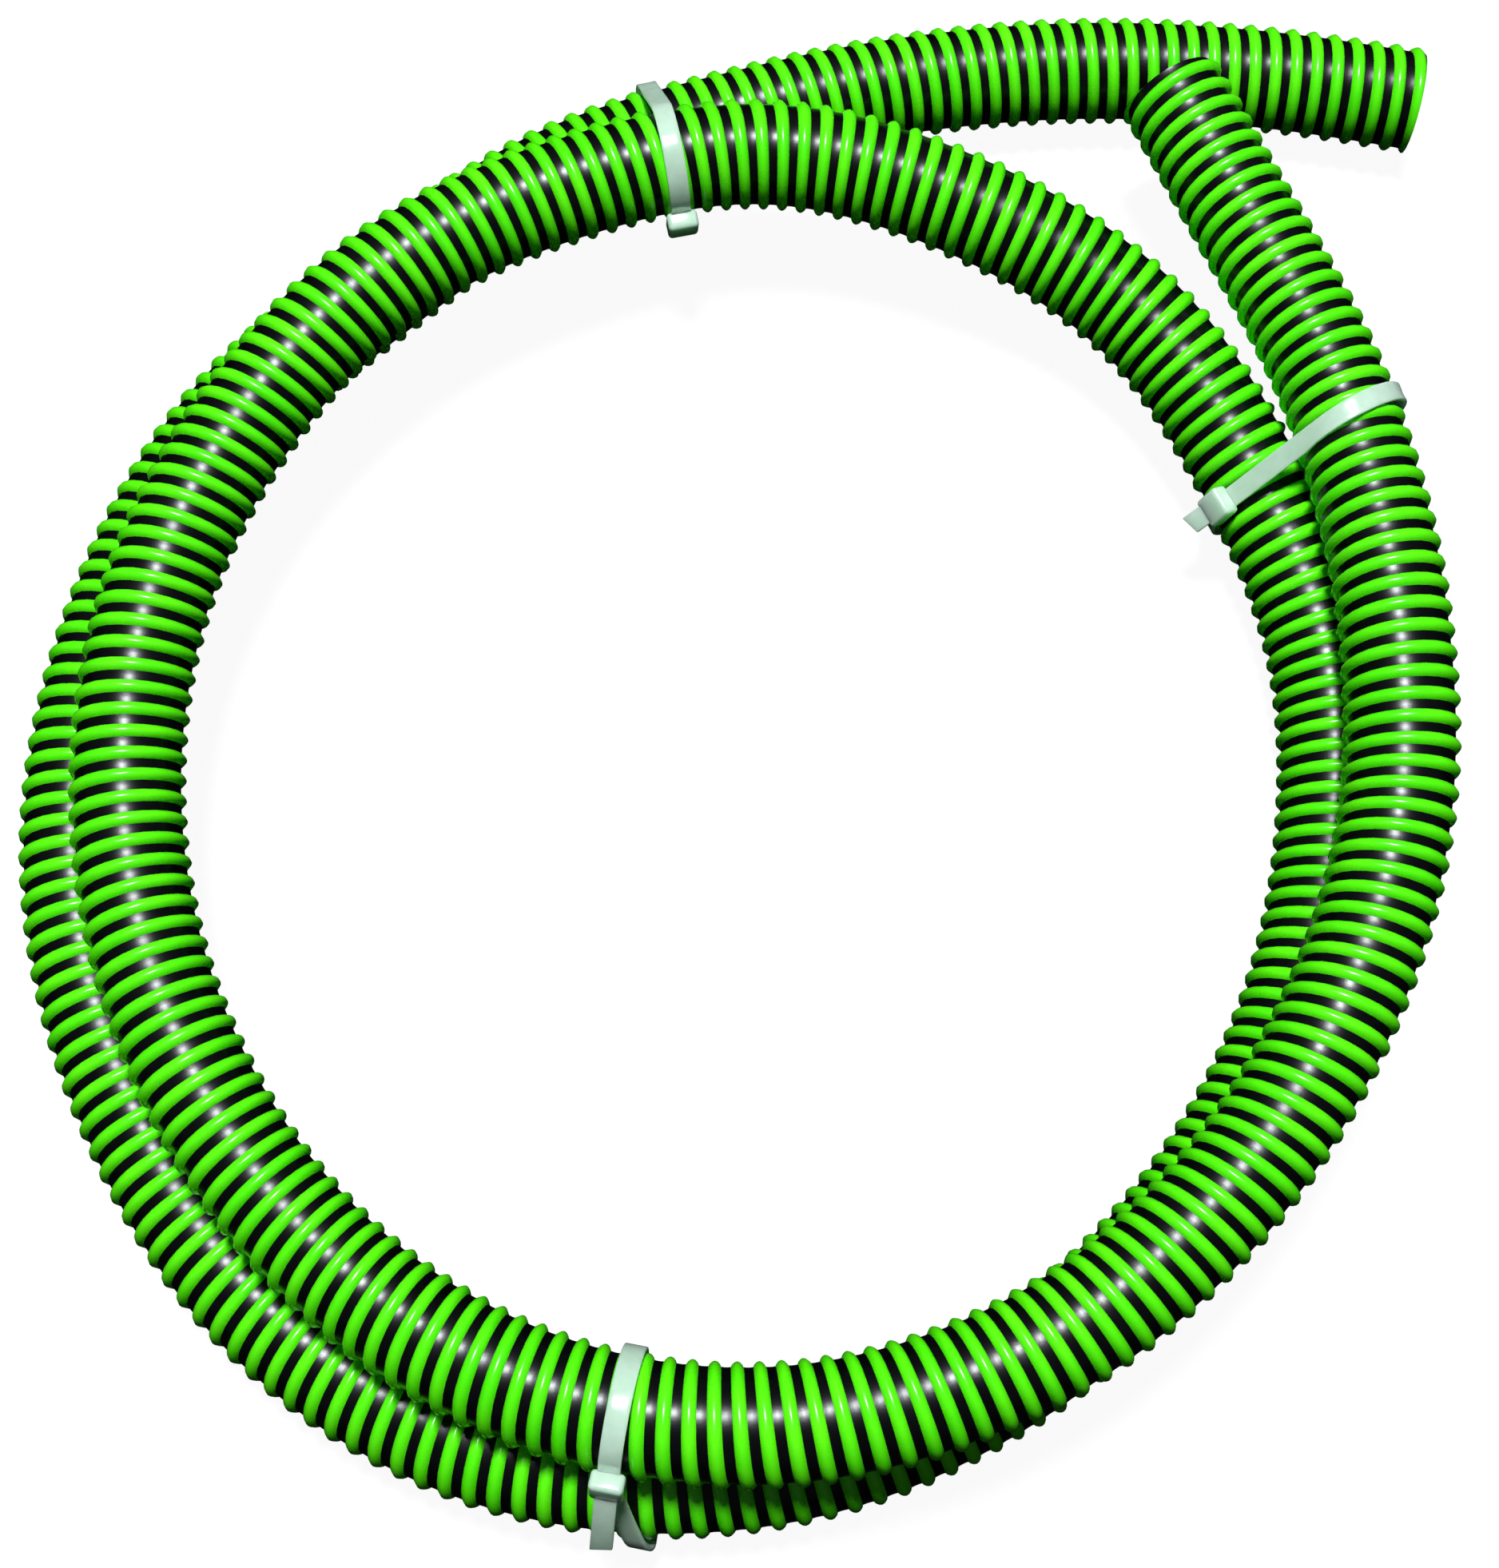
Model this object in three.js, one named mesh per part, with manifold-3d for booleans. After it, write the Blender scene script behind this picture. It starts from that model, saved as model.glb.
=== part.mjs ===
// A length of ribbed suction hose, wound in two loose turns and held by three nylon cable ties.
// Millimetres, +Z up. The coil lies on the floor, z = 0, with the middle of its bounding box at x = y = 0.
import * as THREE from "three";
import { mergeVertices } from "three/addons/utils/BufferGeometryUtils.js";
import Module from "manifold-3d";

const wasm = await Module();
wasm.setup();

// Hose section
const HOSE_DIAMETER = 41; // over the spiral rib
const WALL_THICKNESS = 4.5; // rib and wall together
const HOSE_SIDES = 16;

// Hose route. Clock angles are in degrees, clockwise seen from above, with 0 at the back (+Y).
const HOSE_STEPS = 120;
const STATION_PITCH = 20;
const FIRST_STATION = 20;
const UPPER_END_CLOCK = 31.4;
const LOWER_END_CLOCK = 764;
const TURN_GAP = 0.8; // between turns that lie on each other
// Distance of the hose's centre line from the middle of the coil, station by station, from the upper end on
const STATION_RADII = [
  333, 272, 242, 226, 222, 222, 228, 237, 244, 245, 241, 235, 230, 226, 223, 222, 221, 224, 219, // first turn
  217, 209, 208, 208, 214, 225, 241, 258, 269, 270, 263, 257, 249, 244, 238, 246, 260, 297, 355, 442, // second turn
];
// Height of the centre line above its place on the floor, in hose diameters, where no turn below carries it:
// the upper end lies over the lower end's strand, after one turn the hose comes down to the floor,
// and the ties' straps pass between the lower strand and the floor.
const FREE_LIFTS = new Map([
  [20, 0.76],
  [40, 0.78],
  [60, 0.88],
  [360, 0.8],
  [380, 0.64],
  [400, 0.38],
  [420, 0.18],
  [440, 0.07],
  [540, 0.07],
  [560, 0.07],
  [700, 0.07],
  [720, 0.07],
]);

// Cable ties
const TIE_WIDTH = 7.6;
const TIE_THICKNESS = 1.5;
const TIE_CLEARANCE = 1.3; // between the strap and the ribs
const TIE_HEAD_LENGTH = 11;
const TIE_HEAD_WIDTH = 11.6;
const TIE_HEAD_HEIGHT = 7;
const TIE_HEAD_CHAMFER = 1.2;
const TIE_TAIL_RISE = 4.5; // from the inside of the strap to the tail's middle
const TIE_TAIL_CUT = 2; // how far the cut end slants
const STUB_TAIL = 13; // from the middle of the head
const LONG_TAIL = 31;
const TIE_TAIL_FLARE = 22; // how far a tail stands off the strap's line, in degrees
const TIE_ARC_SEGMENTS = 14;
// headOn is the strand that carries the head, 0 for the upper and 1 for the lower. headAngle is the head's place
// round it, in degrees from the side that points away from the coil's middle. lean turns the tie about the vertical.
const TIES = [
  { name: "tie_top", clock: 350, lean: -3.5, headOn: 0, headAngle: 190, tail: 0, tailSide: 0 },
  { name: "tie_right", clock: 62.5, lean: 6, headOn: 1, headAngle: 150, tail: STUB_TAIL, tailSide: -1 },
  { name: "tie_bottom", clock: 191.3, lean: -3, headOn: 0, headAngle: 18, tail: LONG_TAIL, tailSide: 1 },
];

// Heights of the stations, worked out from the last to the first: each rests on the floor, on its free lift,
// or on the strand that passes one turn later beneath it, whichever is highest.
function stationHeights() {
  const stationsPerTurn = 360 / STATION_PITCH;
  const touching = HOSE_DIAMETER + TURN_GAP;
  const heights = STATION_RADII.map(() => HOSE_DIAMETER / 2);
  for (let i = STATION_RADII.length - 1; i >= 0; i--) {
    const clock = FIRST_STATION + i * STATION_PITCH;
    heights[i] += (FREE_LIFTS.get(clock) ?? 0) * HOSE_DIAMETER;
    const below = i + stationsPerTurn;
    if (below >= STATION_RADII.length) continue;
    const offset = Math.abs(STATION_RADII[i] - STATION_RADII[below]);
    if (offset >= touching) continue;
    const resting = heights[below] + Math.sqrt(touching ** 2 - offset ** 2);
    heights[i] = Math.max(heights[i], resting);
  }
  return heights;
}

// The hose's centre line: a smooth curve of radius and height over the clock angle
class HoseRoute extends THREE.Curve {
  constructor() {
    super();
    const heights = stationHeights();
    const stations = STATION_RADII.map((radius, i) => new THREE.Vector3(i * STATION_PITCH, radius, heights[i]));
    this.stations = new THREE.CatmullRomCurve3(stations, false, "catmullrom", 0.5);
    this.arcLengthDivisions = 1500;
  }

  atClock(clock) {
    const lastClock = FIRST_STATION + (STATION_RADII.length - 1) * STATION_PITCH;
    const place = this.stations.getPoint((clock - FIRST_STATION) / (lastClock - FIRST_STATION));
    const turn = THREE.MathUtils.degToRad(clock);
    return new THREE.Vector3(place.y * Math.sin(turn), place.y * Math.cos(turn), place.z);
  }

  directionAt(clock) {
    return this.atClock(clock + 0.5).sub(this.atClock(clock - 0.5)).normalize();
  }

  getPoint(share, target = new THREE.Vector3()) {
    return target.copy(this.atClock(THREE.MathUtils.lerp(UPPER_END_CLOCK, LOWER_END_CLOCK, share)));
  }
}

const route = new HoseRoute();

function hoseGeometry() {
  const section = new THREE.Shape().absarc(0, 0, HOSE_DIAMETER / 2, 0, 2 * Math.PI, false);
  section.holes.push(new THREE.Path().absarc(0, 0, HOSE_DIAMETER / 2 - WALL_THICKNESS, 0, 2 * Math.PI, true));
  return new THREE.ExtrudeGeometry(section, {
    extrudePath: route,
    steps: HOSE_STEPS,
    curveSegments: HOSE_SIDES / 2, // a full circle gets twice as many
    bevelEnabled: false,
  });
}

function toSolid(geometry) {
  const bare = geometry.clone();
  bare.deleteAttribute("normal");
  bare.deleteAttribute("uv");
  const merged = mergeVertices(bare, 1e-3);
  return new wasm.Manifold(
    new wasm.Mesh({
      numProp: 3,
      vertProperties: new Float32Array(merged.attributes.position.array),
      triVerts: new Uint32Array(merged.index.array),
    }),
  );
}

function fromSolid(solid) {
  const mesh = solid.getMesh();
  const geometry = new THREE.BufferGeometry();
  geometry.setAttribute("position", new THREE.BufferAttribute(new Float32Array(mesh.vertProperties), 3));
  geometry.setIndex(new THREE.BufferAttribute(new Uint32Array(mesh.triVerts), 1));
  geometry.computeVertexNormals();
  return geometry;
}

// Outline of a band drawn tight round two circles of one radius, anticlockwise, as points (outward, up)
function bandOutline(first, second, radius) {
  const between = second.clone().sub(first);
  const start = between.angle() - Math.PI / 2;
  const points = [];
  for (const [centre, from] of [[second, start], [first, start + Math.PI]]) {
    for (let i = 0; i <= TIE_ARC_SEGMENTS; i++) {
      const angle = from + (i * Math.PI) / TIE_ARC_SEGMENTS;
      points.push(new THREE.Vector2(centre.x + radius * Math.cos(angle), centre.y + radius * Math.sin(angle)));
    }
  }
  return points;
}

// A tie's frame, halfway between the two strands it holds: x points away from the coil's middle, y is up,
// and z runs along the hose, in the mean direction of both strands, turned by the tie's lean
function tieFrame({ clock, lean }) {
  const clocks = [clock, clock + 360];
  const along = new THREE.Vector3();
  clocks.forEach((at) => along.add(route.directionAt(at)));
  along.normalize();
  const up = new THREE.Vector3(0, 0, 1);
  along.applyAxisAngle(up, THREE.MathUtils.degToRad(lean));
  const outward = up.cross(along).normalize();
  const middle = route.atClock(clocks[0]).lerp(route.atClock(clocks[1]), 0.5);
  return new THREE.Matrix4().makeBasis(outward, along.clone().cross(outward), along).setPosition(middle);
}

// Where a strand passes through the plane of a tie, as a point (outward, up) of the tie's frame
function strandInFrame(inFrame, clock) {
  let at = clock;
  for (let i = 0; i < 4; i++) {
    const off = route.atClock(at).applyMatrix4(inFrame).z;
    const oneDegree = route.atClock(at + 1).applyMatrix4(inFrame).z - off;
    at -= off / oneDegree;
  }
  const centre = route.atClock(at).applyMatrix4(inFrame);
  return new THREE.Vector2(centre.x, centre.y);
}

// The head, lying on the strap: x runs along the strap, and y = 0 is the inside of the strap
function headGeometry() {
  const [length, height, cut] = [TIE_HEAD_LENGTH, TIE_HEAD_HEIGHT, TIE_HEAD_CHAMFER];
  const side = new THREE.Shape();
  side.moveTo(-length / 2, 0);
  side.lineTo(length / 2, 0);
  side.lineTo(length / 2, height - cut);
  side.lineTo(length / 2 - cut, height);
  side.lineTo(cut - length / 2, height);
  side.lineTo(-length / 2, height - cut);
  side.closePath();
  const head = new THREE.ExtrudeGeometry(side, { depth: TIE_HEAD_WIDTH, bevelEnabled: false });
  return head.translate(0, 0, -TIE_HEAD_WIDTH / 2);
}

// The tail, from the middle of the head to its slanting cut, along the strap
function tailGeometry(length, side) {
  const plan = new THREE.Shape();
  plan.moveTo(0, -TIE_WIDTH / 2);
  plan.lineTo(length - TIE_TAIL_CUT, -TIE_WIDTH / 2);
  plan.lineTo(length, TIE_WIDTH / 2);
  plan.lineTo(0, TIE_WIDTH / 2);
  plan.closePath();
  const tail = new THREE.ExtrudeGeometry(plan, { depth: TIE_THICKNESS, bevelEnabled: false });
  tail.rotateX(Math.PI / 2);
  if (side < 0) tail.rotateY(Math.PI);
  tail.translate(0, TIE_THICKNESS / 2, 0);
  tail.rotateZ(side * THREE.MathUtils.degToRad(TIE_TAIL_FLARE));
  return tail.translate(0, TIE_TAIL_RISE, 0);
}

// One tie: the strap round both strands, its head, and the tail that comes out of the head
function tieGeometry(tie) {
  const frame = tieFrame(tie);
  const inFrame = frame.clone().invert();
  const strands = [tie.clock, tie.clock + 360].map((at) => strandInFrame(inFrame, at));
  const inside = HOSE_DIAMETER / 2 + TIE_CLEARANCE;
  const band = new THREE.Shape(bandOutline(strands[0], strands[1], inside + TIE_THICKNESS));
  band.holes.push(new THREE.Path(bandOutline(strands[0], strands[1], inside).reverse()));
  const strap = new THREE.ExtrudeGeometry(band, { depth: TIE_WIDTH, bevelEnabled: false });
  strap.translate(0, 0, -TIE_WIDTH / 2);

  const centre = strands[tie.headOn];
  const pieces = [headGeometry()];
  if (tie.tail > 0) pieces.push(tailGeometry(tie.tail, tie.tailSide));
  let solid = toSolid(strap);
  for (const piece of pieces) {
    piece.translate(0, inside, 0);
    piece.rotateZ(THREE.MathUtils.degToRad(tie.headAngle - 90));
    piece.translate(centre.x, centre.y, 0);
    solid = solid.add(toSolid(piece));
  }
  return fromSolid(solid).applyMatrix4(frame);
}

const rubber = new THREE.MeshStandardMaterial({ color: 0x2fae0c, roughness: 0.35, metalness: 0 });
const nylon = new THREE.MeshStandardMaterial({ color: 0xdde6da, roughness: 0.4, metalness: 0 });

const hose = new THREE.Mesh(hoseGeometry(), rubber);
hose.name = "hose";

const coil = new THREE.Group();
coil.add(hose);
for (const tie of TIES) {
  const mesh = new THREE.Mesh(tieGeometry(tie), nylon);
  mesh.name = tie.name;
  coil.add(mesh);
}

// The origin goes below the middle of the coil's bounding box, on the floor
const box = new THREE.Box3().setFromObject(coil);
const middle = box.getCenter(new THREE.Vector3());
coil.position.set(-middle.x, -middle.y, -box.min.z);

export default coil;
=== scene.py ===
import math

import bmesh
import bpy
import numpy as np
from mathutils import Matrix, Vector


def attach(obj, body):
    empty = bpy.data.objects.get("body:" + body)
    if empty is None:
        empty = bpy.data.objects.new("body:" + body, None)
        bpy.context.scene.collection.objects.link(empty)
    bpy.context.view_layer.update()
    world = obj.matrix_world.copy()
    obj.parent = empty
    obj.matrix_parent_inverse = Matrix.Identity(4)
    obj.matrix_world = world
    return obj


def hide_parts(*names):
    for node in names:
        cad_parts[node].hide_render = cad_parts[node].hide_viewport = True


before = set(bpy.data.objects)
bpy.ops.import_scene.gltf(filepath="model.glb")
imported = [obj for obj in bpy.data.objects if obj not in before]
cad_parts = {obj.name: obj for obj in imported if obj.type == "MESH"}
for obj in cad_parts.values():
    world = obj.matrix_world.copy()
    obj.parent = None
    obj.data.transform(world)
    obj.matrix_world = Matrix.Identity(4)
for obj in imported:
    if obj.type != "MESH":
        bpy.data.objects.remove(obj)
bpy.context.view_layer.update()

# Camera: nearly overhead and square to the front of the coil, close enough for the near side to look larger.
# The focal length is given as a share of the picture's height.
view_target = Vector((-0.0011, -0.0290, 0.040))
view_rise = math.radians(74.7)
view_distance = 0.8676
focal_share = 1.538634
camera_data = bpy.data.cameras.new("camera")
camera_data.sensor_fit = "VERTICAL"
camera_data.sensor_height = 24
camera_data.lens = camera_data.sensor_height * focal_share
camera_data.clip_start = 0.01
camera_data.clip_end = 50
camera = bpy.data.objects.new("camera", camera_data)
bpy.context.collection.objects.link(camera)
towards_camera = Vector((0, -math.cos(view_rise), math.sin(view_rise)))
camera.location = view_target + view_distance * towards_camera
camera.rotation_euler = towards_camera.to_track_quat("Z", "Y").to_euler()
bpy.context.scene.camera = camera

# Route of the hose: two loose turns that start on top at the back right and end on the floor behind them.
# The upper turn rests on the lower one, and the hose comes down to the floor where the first turn ends.
# Stations stand every 20 degrees round the coil, clockwise seen from above, with 0 at the back.
hose_radius = 0.0205
wall = 0.0045
turn_gap = 0.0008
station_pitch = 20
first_station = 20
upper_end_clock = 31.4
lower_end_clock = 764
station_radii = [
    .333, .272, .242, .226, .222, .222, .228, .237, .244, .245, .241, .235, .230, .226, .223, .222, .221, .224, .219,
    .217, .209, .208, .208, .214, .225, .241, .258, .269, .270, .263, .257, .249, .244, .238, .246, .260, .297, .355,
    .442,
]
# Lifts in hose diameters, at the stations where the hose stands free of the floor and of the turn below
free_lifts = {20: .76, 40: .78, 60: .88, 360: .80, 380: .64, 400: .38, 420: .18, 440: .07, 540: .07, 560: .07,
              700: .07, 720: .07}
# From the middle of the clock circle to the middle of the coil's bounding box on the floor
coil_middle = np.array([0.00642, -0.00797, -0.00011])

station_heights = [hose_radius] * len(station_radii)
for i in reversed(range(len(station_radii))):
    station_heights[i] += 2 * hose_radius * free_lifts.get(first_station + i * station_pitch, 0)
    below = i + 360 // station_pitch
    if below < len(station_radii):
        offset = abs(station_radii[i] - station_radii[below])
        touching = 2 * hose_radius + turn_gap
        if offset < touching:
            resting = station_heights[below] + math.sqrt(touching ** 2 - offset ** 2)
            station_heights[i] = max(station_heights[i], resting)


def through_stations(values, clock):
    """A smooth curve through the stations' values, read at one or more clock angles."""
    at = (np.asarray(clock, float) - first_station) / station_pitch
    i = np.clip(np.floor(at).astype(int), 0, len(values) - 2)
    f = at - i
    v = np.array([2 * values[0] - values[1], *values, 2 * values[-1] - values[-2]])
    a, b, c, d = v[i], v[i + 1], v[i + 2], v[i + 3]
    return 0.5 * (2 * b + (c - a) * f + (2 * a - 5 * b + 4 * c - d) * f ** 2 + (3 * (b - c) + d - a) * f ** 3)


def centre_line(clock):
    turn = np.radians(clock)
    radius = through_stations(station_radii, clock)
    places = [radius * np.sin(turn), radius * np.cos(turn), through_stations(station_heights, clock)]
    return np.stack(places, -1) + coil_middle


route_count = 2400
route = centre_line(np.linspace(upper_end_clock, lower_end_clock, route_count))
route_reach = np.concatenate([[0], np.cumsum(np.linalg.norm(np.diff(route, axis=0), axis=1))])
hose_length = float(route_reach[-1])

# Hose: black rubber with a proud half-round spiral rib of green plastic, wound on over its whole length.
# One rib and the valley beside it are spun into some turns, the length is doubled until it is long enough,
# both ends are cut square, the bore is let in, and the straight hose is then bent along the route.
rib_pitch = 0.0080965
rib_start = 0.467  # of the pitch, how far through it the hose begins
rib_share = 0.58  # of the pitch
rib_height = 0.0019
valley_dip = 0.0001
rib_hand = 1  # 1 for a right-hand screw
sides = 24
spun_turns = 25
doublings = 4
weld_distance = 0.00002
end_tolerance = 0.000001

hose_mesh = bmesh.new()
section = []
for share in (0, .06, .17, .29, .41, .52, .58, .72, .86, 1):
    if share <= rib_share:
        rise = rib_height * math.sin(math.pi * share / rib_share) ** 0.7
    else:
        rise = -valley_dip * math.sin(math.pi * (share - rib_share) / (1 - rib_share))
    section.append(hose_mesh.verts.new((hose_radius - rib_height + rise, 0, (share - 2 - rib_start) * rib_pitch)))
for one, other in zip(section, section[1:]):
    hose_mesh.edges.new((one, other))
bmesh.ops.spin(hose_mesh, geom=hose_mesh.verts[:] + hose_mesh.edges[:], cent=(0, 0, 0), axis=(0, 0, rib_hand),
               dvec=(0, 0, rib_pitch / sides), angle=2 * math.pi * spun_turns, steps=sides * spun_turns)
for doubling in range(doublings):
    length_so_far = spun_turns * rib_pitch * 2 ** doubling
    copy = bmesh.ops.duplicate(hose_mesh, geom=hose_mesh.verts[:] + hose_mesh.edges[:] + hose_mesh.faces[:])
    bmesh.ops.translate(hose_mesh, verts=[v for v in copy["geom"] if isinstance(v, bmesh.types.BMVert)],
                        vec=(0, 0, length_so_far))
bmesh.ops.remove_doubles(hose_mesh, verts=hose_mesh.verts, dist=weld_distance)
bmesh.ops.recalc_face_normals(hose_mesh, faces=hose_mesh.faces)
for cut, outwards in ((0, -1), (hose_length, 1)):
    bmesh.ops.bisect_plane(hose_mesh, geom=hose_mesh.verts[:] + hose_mesh.edges[:] + hose_mesh.faces[:], dist=1e-7,
                           plane_co=(0, 0, cut), plane_no=(0, 0, outwards), clear_outer=True)


def rib_phase(place):
    """How far a point lies through the pitch it is in, from the start of the rib."""
    return (place.z / rib_pitch + rib_start - rib_hand * math.atan2(place.y, place.x) / (2 * math.pi)) % 1


for face in hose_mesh.faces:
    face.smooth = True
    face.material_index = int(rib_phase(face.calc_center_median()) < rib_share)
for edge in hose_mesh.edges:
    if len({face.material_index for face in edge.link_faces}) > 1:
        edge.smooth = False

bore = bmesh.ops.create_circle(hose_mesh, segments=sides, radius=hose_radius - wall)
bore_edges = list({edge for v in bore["verts"] for edge in v.link_edges})
bore_steps = 200
before = set(hose_mesh.faces)
bmesh.ops.spin(hose_mesh, geom=bore["verts"] + bore_edges, cent=(0, 0, 0), axis=(0, 0, 1),
               dvec=(0, 0, hose_length / bore_steps), angle=0, steps=bore_steps)
bore_faces = [face for face in hose_mesh.faces if face not in before]
for face in bore_faces:
    face.smooth = True
    middle = face.calc_center_median()
    if face.normal.dot(Vector((middle.x, middle.y, 0))) > 0:
        face.normal_flip()
for cut, outwards in ((0, -1), (hose_length, 1)):
    rim = [edge for edge in hose_mesh.edges
           if edge.is_boundary and all(abs(v.co.z - cut) < end_tolerance for v in edge.verts)]
    filled = bmesh.ops.triangle_fill(hose_mesh, use_beauty=True, edges=rim, normal=(0, 0, outwards))
    for face in filled["geom"]:
        if isinstance(face, bmesh.types.BMFace):
            face.normal_update()
            if face.normal.z * outwards < 0:
                face.normal_flip()
            face.smooth = False
    for edge in rim:
        edge.smooth = False

# Bending: each point keeps its distance along the hose and its place round it. The frame round the centre line
# is carried along without twist, so the rib keeps its pitch.
frame_count = 1600
frame_reach = np.linspace(0, hose_length, frame_count)
frame_places = np.stack([np.interp(frame_reach, route_reach, route[:, k]) for k in range(3)], -1)
frame_along = np.gradient(frame_places, axis=0)
frame_along /= np.linalg.norm(frame_along, axis=1)[:, None]
frame_side = np.empty_like(frame_along)
side = np.cross(frame_along[0], (0, 0, 1))
for k in range(frame_count):
    side = side - frame_along[k] * side.dot(frame_along[k])
    side /= np.linalg.norm(side)
    frame_side[k] = side


def bend_along_route(places):
    """Carries places of the straight hose, whose length runs along z, to the route."""
    reach = places[:, 2]
    centre, along, across = (np.stack([np.interp(reach, frame_reach, values[:, k]) for k in range(3)], -1)
                             for values in (frame_places, frame_along, frame_side))
    along /= np.linalg.norm(along, axis=1)[:, None]
    across -= along * (along * across).sum(1)[:, None]
    across /= np.linalg.norm(across, axis=1)[:, None]
    return centre + across * places[:, :1] + np.cross(along, across) * places[:, 1:2]


straight = np.array([v.co for v in hose_mesh.verts])
for v, place in zip(hose_mesh.verts, bend_along_route(straight)):
    v.co = place
hose_data = bpy.data.meshes.new("ribbed_hose")
hose_mesh.to_mesh(hose_data)
hose_mesh.free()
hose = bpy.data.objects.new("ribbed_hose", hose_data)
bpy.context.collection.objects.link(hose)


class Socket:
    """A value in a material's node tree. Arithmetic on it adds the nodes that work it out."""

    def __init__(self, tree, out):
        self.tree, self.out = tree, out

    def add(self, kind, settings=(), inputs=(), output=0):
        """Adds a node with its settings and inputs, and gives one of its outputs."""
        node = self.tree.nodes.new(kind)
        for name, value in dict(settings).items():
            if name == "ramp":
                stops = node.color_ramp.elements
                while len(stops) < len(value):
                    stops.new(0.5)
                for stop, (at, colour) in zip(stops, value):
                    stop.position, stop.color = at, (*colour, 1)
            else:
                setattr(node, name, value)
        for name, value in dict(inputs).items():
            if isinstance(value, Socket):
                self.tree.links.new(value.out, node.inputs[name])
            else:
                node.inputs[name].default_value = value
        return Socket(self.tree, node.outputs[output])

    def math(self, operation, one, other):
        return self.add("ShaderNodeMath", {"operation": operation}, {0: one, 1: other})

    def __add__(self, other):
        return self.math("ADD", self, other)

    def __radd__(self, other):
        return self.math("ADD", other, self)

    def __mul__(self, other):
        return self.math("MULTIPLY", self, other)

    def __rmul__(self, other):
        return self.math("MULTIPLY", other, self)


def new_finish(name):
    """A material with an empty Principled shader, and the Object coordinates that its patterns lie on."""
    finish = bpy.data.materials.new(name)
    finish.use_nodes = True
    shader = finish.node_tree.nodes["Principled BSDF"]
    where = Socket(finish.node_tree, None).add("ShaderNodeTexCoord", output="Object")
    return finish, shader, where


def set_finish(shader, **values):
    """Sets the shader's inputs: a constant goes on the socket itself, and a pattern is linked to it."""
    for name, value in values.items():
        socket = shader.inputs[name.replace("_", " ")]
        if isinstance(value, Socket):
            value.tree.links.new(value.out, socket)
        else:
            socket.default_value = value


black_rubber, shader, where = new_finish("black_rubber")
bloom = where.add("ShaderNodeTexNoise", {}, {"Vector": where, "Scale": 60.0, "Detail": 4.0})
grain = where.add("ShaderNodeTexNoise", {}, {"Vector": where, "Scale": 900.0, "Detail": 2.0})
near_black = [(0.3, (.001, .001, .0015)), (0.8, (.002, .002, .003))]
set_finish(shader, Roughness=bloom * 0.12 + 0.23, IOR=1.5, Specular_IOR_Level=0.32,
           Base_Color=where.add("ShaderNodeValToRGB", {"ramp": near_black}, {"Fac": bloom}),
           Normal=where.add("ShaderNodeBump", {}, {"Height": grain, "Strength": 0.05, "Distance": 0.0003}))

green_rib, shader, where = new_finish("green_rib")
cloud = where.add("ShaderNodeTexNoise", {}, {"Vector": where, "Scale": 45.0, "Detail": 3.0})
ripple = where.add("ShaderNodeTexNoise", {}, {"Vector": where, "Scale": 500.0, "Detail": 2.0})
bright_green = [(0.3, (.075, .86, .003)), (0.75, (.13, .97, .006))]
set_finish(shader, Roughness=ripple * 0.1 + 0.22, IOR=1.5,
           Base_Color=where.add("ShaderNodeValToRGB", {"ramp": bright_green}, {"Fac": cloud}),
           Normal=where.add("ShaderNodeBump", {}, {"Height": ripple, "Strength": 0.06, "Distance": 0.0004}))

hose_data.materials.append(black_rubber)
hose_data.materials.append(green_rib)
path_count = 400
straight_path = np.zeros((path_count, 3))
straight_path[:, 2] = np.linspace(0, hose_length, path_count)
path_points = bend_along_route(straight_path)
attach(hose, "root")
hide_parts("hose")

# Cable ties: natural nylon, moulded in one with a square head that the strap is drawn through.
# Each strap goes once round both strands, and its tail is cut off short or left long beyond the head.
tie_width = 0.0076
tie_thickness = 0.0015
tie_slack = 0.0004  # between the ribs' crests and the strap, before it is pressed out
tie_arc_steps = 20
straight_cuts = 8
width_steps = 4
head_length = 0.011
head_width = 0.0116
head_height = 0.007
head_rounding = 0.0016
tail_rise = 0.0045  # from the inside of the strap to the tail's middle
tail_cut = 0.002  # how far the cut end slants
tail_flare = math.radians(22)  # how far a tail stands off the strap's line
strap_rounding = 0.0003
strap_over_rib = 0.0002

natural_nylon, shader, where = new_finish("natural_nylon")
haze = where.add("ShaderNodeTexNoise", {}, {"Vector": where, "Scale": 180.0, "Detail": 3.0})
milky = [(0.3, (.58, .82, .63)), (0.8, (.68, .92, .74))]
set_finish(shader, Roughness=haze * 0.1 + 0.13, IOR=1.53, Transmission_Weight=0.15, Subsurface_Weight=0.7,
           Subsurface_Radius=(1, 1, 1), Subsurface_Scale=0.004,
           Base_Color=where.add("ShaderNodeValToRGB", {"ramp": milky}, {"Fac": haze}),
           Normal=where.add("ShaderNodeBump", {}, {"Height": haze, "Strength": 0.08, "Distance": 0.0003}))


def direction(clock):
    """The way the hose runs at a clock angle."""
    step = centre_line(clock + 0.5) - centre_line(clock - 0.5)
    return step / np.linalg.norm(step)


def tie_frame(clock, lean):
    """A matrix from a tie's own frame: x away from the coil's middle, y up, z along the hose."""
    along = Vector(direction(clock) + direction(clock + 360)).normalized()
    along.rotate(Matrix.Rotation(math.radians(lean), 3, "Z"))
    outward = Vector((0, 0, 1)).cross(along).normalized()
    up = along.cross(outward)
    middle = Vector((centre_line(clock) + centre_line(clock + 360)) / 2)
    return Matrix.Translation(middle) @ Matrix((outward, up, along)).transposed().to_4x4()


def strand_in_frame(in_frame, clock):
    """Where a strand crosses the plane of a tie."""
    for _ in range(4):
        off = (in_frame @ Vector(centre_line(clock))).z
        one_degree = (in_frame @ Vector(centre_line(clock + 1))).z - off
        clock -= off / one_degree
    return in_frame @ Vector(centre_line(clock))


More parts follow.
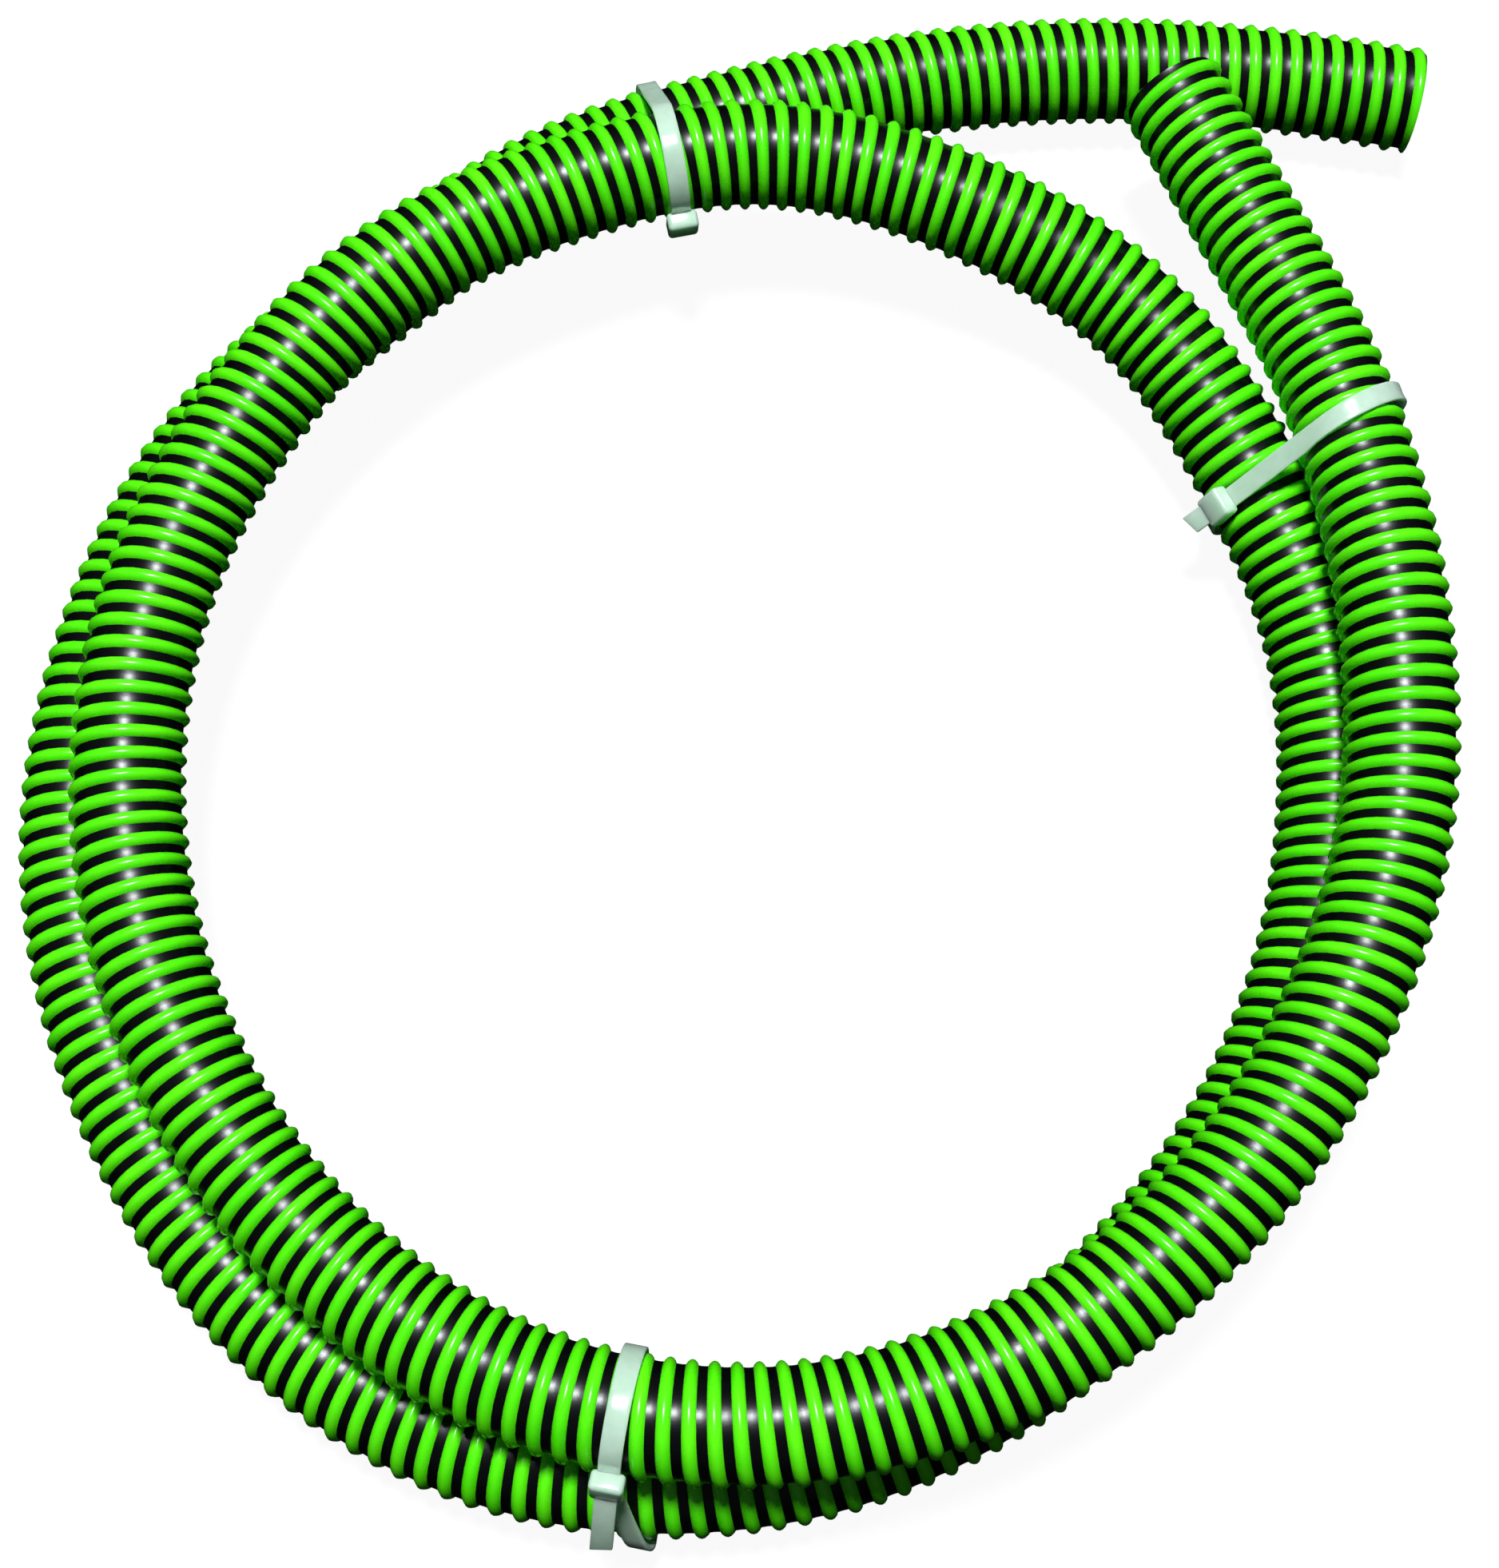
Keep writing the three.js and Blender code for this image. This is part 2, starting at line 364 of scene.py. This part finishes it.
def make_tie(name, clock, lean, head_on, head_angle, tail=0, tail_side=0, skew=0):
    """The strap, head and tail of one tie.

    The head lies on the strand head_on, 0 for the upper and 1 for the lower, at head_angle degrees round it from
    the side that points away from the coil's middle. Skew is how far the strap's return run slants along the hose.
    """
    placed = tie_frame(clock, lean)
    in_frame = placed.inverted()
    strands = [strand_in_frame(in_frame, at) for at in (clock, clock + 360)]
    inside = hose_radius + tie_slack
    mesh = bmesh.new()
    between = strands[1] - strands[0]
    start = math.atan2(between.y, between.x) - math.pi / 2
    ends = []
    for centre, angle in ((strands[1], start), (strands[0], start + math.pi)):
        first = mesh.verts.new((centre.x + inside * math.cos(angle), centre.y + inside * math.sin(angle), 0))
        arc = bmesh.ops.spin(mesh, geom=[first], cent=(centre.x, centre.y, 0), axis=(0, 0, 1), angle=math.pi,
                             steps=tie_arc_steps)
        ends.append((first, arc["geom_last"][0]))
    straights = [mesh.edges.new((ends[0][1], ends[1][0])), mesh.edges.new((ends[1][1], ends[0][0]))]
    bmesh.ops.subdivide_edges(mesh, edges=straights, cuts=straight_cuts)
    bmesh.ops.translate(mesh, verts=mesh.verts, vec=(0, 0, -tie_width / 2))
    bmesh.ops.spin(mesh, geom=mesh.verts[:] + mesh.edges[:], cent=(0, 0, 0), axis=(0, 0, 1), angle=0,
                   steps=width_steps, dvec=(0, 0, tie_width / width_steps))
    head_at = strands[head_on] + inside * Vector((math.cos(math.radians(head_angle)),
                                                  math.sin(math.radians(head_angle)), 0))
    low = min(strand.y for strand in strands) - inside
    for v in mesh.verts:
        drop = min(1, max(0, (head_at.y - v.co.y) / (head_at.y - low)))
        outer = min(1, max(0, 0.5 + (v.co.x - strands[1].x) / (2 * inside)))
        v.co.z += skew * math.sin(drop * math.pi / 2) * outer
    # The strap is pressed out wherever a rib would stand through it
    for v in mesh.verts:
        off = route - np.array(placed @ v.co)
        nearest = np.argmin((off ** 2).sum(1))
        distance = np.linalg.norm(off[nearest])
        if distance < hose_radius + strap_over_rib:
            v.co = in_frame @ Vector(route[nearest] - off[nearest] * (hose_radius + strap_over_rib) / distance)
    bmesh.ops.recalc_face_normals(mesh, faces=mesh.faces)
    middle = (strands[0] + strands[1]) / 2
    outside = sum(face.normal.dot(face.calc_center_median() - middle) > 0 for face in mesh.faces)
    if outside < len(mesh.faces) / 2:
        bmesh.ops.reverse_faces(mesh, faces=mesh.faces)
    bmesh.ops.solidify(mesh, geom=mesh.faces[:], thickness=-tie_thickness)
    rims = [e for e in mesh.edges if len(e.link_faces) == 2 and e.calc_face_angle(0) > math.radians(60)]
    bmesh.ops.bevel(mesh, geom=rims, affect="EDGES", offset=strap_rounding, segments=2, profile=0.5, material=-1)

    across = Matrix.Rotation(math.radians(head_angle - 90), 4, "Z")
    seat = Matrix.Translation(strands[head_on]) @ across @ Matrix.Translation((0, inside, 0))
    add_head(mesh, seat)
    if tail:
        add_tail(mesh, seat, tail, tail_side)
    bmesh.ops.transform(mesh, matrix=placed, verts=mesh.verts)
    for face in mesh.faces:
        face.smooth = True
    data = bpy.data.meshes.new(name)
    mesh.to_mesh(data)
    mesh.free()
    data.materials.append(natural_nylon)
    tie = bpy.data.objects.new(name, data)
    bpy.context.collection.objects.link(tie)
    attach(tie, "root")
    return tie


def add_head(mesh, seat):
    """The head, a block with strongly rounded edges that reaches a little into the strap."""
    part = bmesh.new()
    bmesh.ops.create_cube(part, size=1)
    bmesh.ops.scale(part, verts=part.verts, vec=(head_length, head_height, head_width))
    bmesh.ops.translate(part, verts=part.verts, vec=(0, head_height / 2, 0))
    bmesh.ops.bevel(part, geom=part.edges[:], affect="EDGES", offset=head_rounding, segments=4, profile=0.5,
                    material=-1)
    join_to(mesh, part, seat)


def add_tail(mesh, seat, length, side):
    """The tail, a flat strip from inside the head to its slanting cut."""
    part = bmesh.new()
    bmesh.ops.create_cube(part, size=1)
    bmesh.ops.scale(part, verts=part.verts, vec=(length, tie_thickness, tie_width))
    bmesh.ops.translate(part, verts=part.verts, vec=(length / 2, tail_rise, 0))
    for v in part.verts:
        if v.co.x > length / 2 and v.co.z < 0:
            v.co.x -= tail_cut
    bmesh.ops.bevel(part, geom=part.edges[:], affect="EDGES", offset=strap_rounding, segments=2, profile=0.5,
                    material=-1)
    if side < 0:
        bmesh.ops.rotate(part, verts=part.verts, cent=(0, 0, 0), matrix=Matrix.Rotation(math.pi, 3, "Y"))
    bmesh.ops.rotate(part, verts=part.verts, cent=(0, tail_rise, 0),
                     matrix=Matrix.Rotation(side * tail_flare, 3, "Z"))
    join_to(mesh, part, seat)


def join_to(mesh, part, seat):
    """Adds a part to a tie's mesh, at its seat, and frees it."""
    bmesh.ops.transform(part, matrix=seat, verts=part.verts)
    carrier = bpy.data.meshes.new("carrier")
    part.to_mesh(carrier)
    part.free()
    mesh.from_mesh(carrier)
    bpy.data.meshes.remove(carrier)


tie_at_back = make_tie("tie_at_back", clock=350, lean=-3.5, head_on=0, head_angle=190)
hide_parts("tie_top")
tie_at_right = make_tie("tie_at_right", clock=62.5, lean=9, head_on=1, head_angle=150, tail=0.013, tail_side=-1)
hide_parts("tie_right")
tie_in_front = make_tie("tie_in_front", clock=191.3, lean=-3, head_on=0, head_angle=18, tail=0.031, tail_side=1,
                        skew=-0.013)
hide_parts("tie_bottom")

# Floor and light: a white floor and backdrop, and one large soft light high above and a little behind the coil.
# The floor throws no light up on the hose, so that its undersides stay dark as on an open stand.
stage_reach = 9
floor_mesh = bmesh.new()
bmesh.ops.create_grid(floor_mesh, x_segments=1, y_segments=1, size=stage_reach)
floor_data = bpy.data.meshes.new("floor")
floor_mesh.to_mesh(floor_data)
floor_mesh.free()
floor = bpy.data.objects.new("floor", floor_data)
bpy.context.collection.objects.link(floor)
white_floor, shader, where = new_finish("white_floor")
set_finish(shader, Base_Color=(0.07, 0.07, 0.07, 1), Roughness=0.9, Emission_Color=(1, 1, 1, 1),
           Emission_Strength=0.94)
floor_data.materials.append(white_floor)

dome_mesh = bmesh.new()
bmesh.ops.create_uvsphere(dome_mesh, u_segments=48, v_segments=24, radius=stage_reach)
bmesh.ops.reverse_faces(dome_mesh, faces=dome_mesh.faces)
dome_data = bpy.data.meshes.new("backdrop")
dome_mesh.to_mesh(dome_data)
dome_mesh.free()
backdrop = bpy.data.objects.new("backdrop", dome_data)
bpy.context.collection.objects.link(backdrop)
white_backdrop, shader, where = new_finish("white_backdrop")
set_finish(shader, Base_Color=(0, 0, 0, 1), Roughness=1.0, Emission_Color=(1, 1, 1, 1), Emission_Strength=0.95)
dome_data.materials.append(white_backdrop)
backdrop.visible_shadow = False
for piece in (floor, backdrop):
    piece.visible_diffuse = piece.visible_glossy = piece.visible_transmission = False

surroundings = bpy.data.worlds.new("surroundings")
surroundings.use_nodes = True
sky = surroundings.node_tree.nodes["Background"]
upward = Socket(surroundings.node_tree, None).add("ShaderNodeTexCoord", output="Generated")
height = upward.add("ShaderNodeSeparateXYZ", {}, {"Vector": upward}, output="Z")
dim_to_pale = [(0.45, (.005, .005, .005)), (0.7, (.06, .064, .07))]
ramp = upward.add("ShaderNodeValToRGB", {"ramp": dim_to_pale}, {"Fac": height * 0.5 + 0.5})
surroundings.node_tree.links.new(ramp.out, sky.inputs["Color"])
bpy.context.scene.world = surroundings

lamp = bpy.data.lights.new("overhead_light", "AREA")
lamp.shape = "DISK"
lamp.size = 1.0
lamp.energy = 340
lamp.color = (0.94, 0.98, 1)
light = bpy.data.objects.new("overhead_light", lamp)
light.location = (-0.17, 1.29, 4.83)
light.rotation_euler = Vector(light.location).to_track_quat("Z", "Y").to_euler()
bpy.context.collection.objects.link(light)
bpy.context.scene.view_settings.view_transform = "Standard"
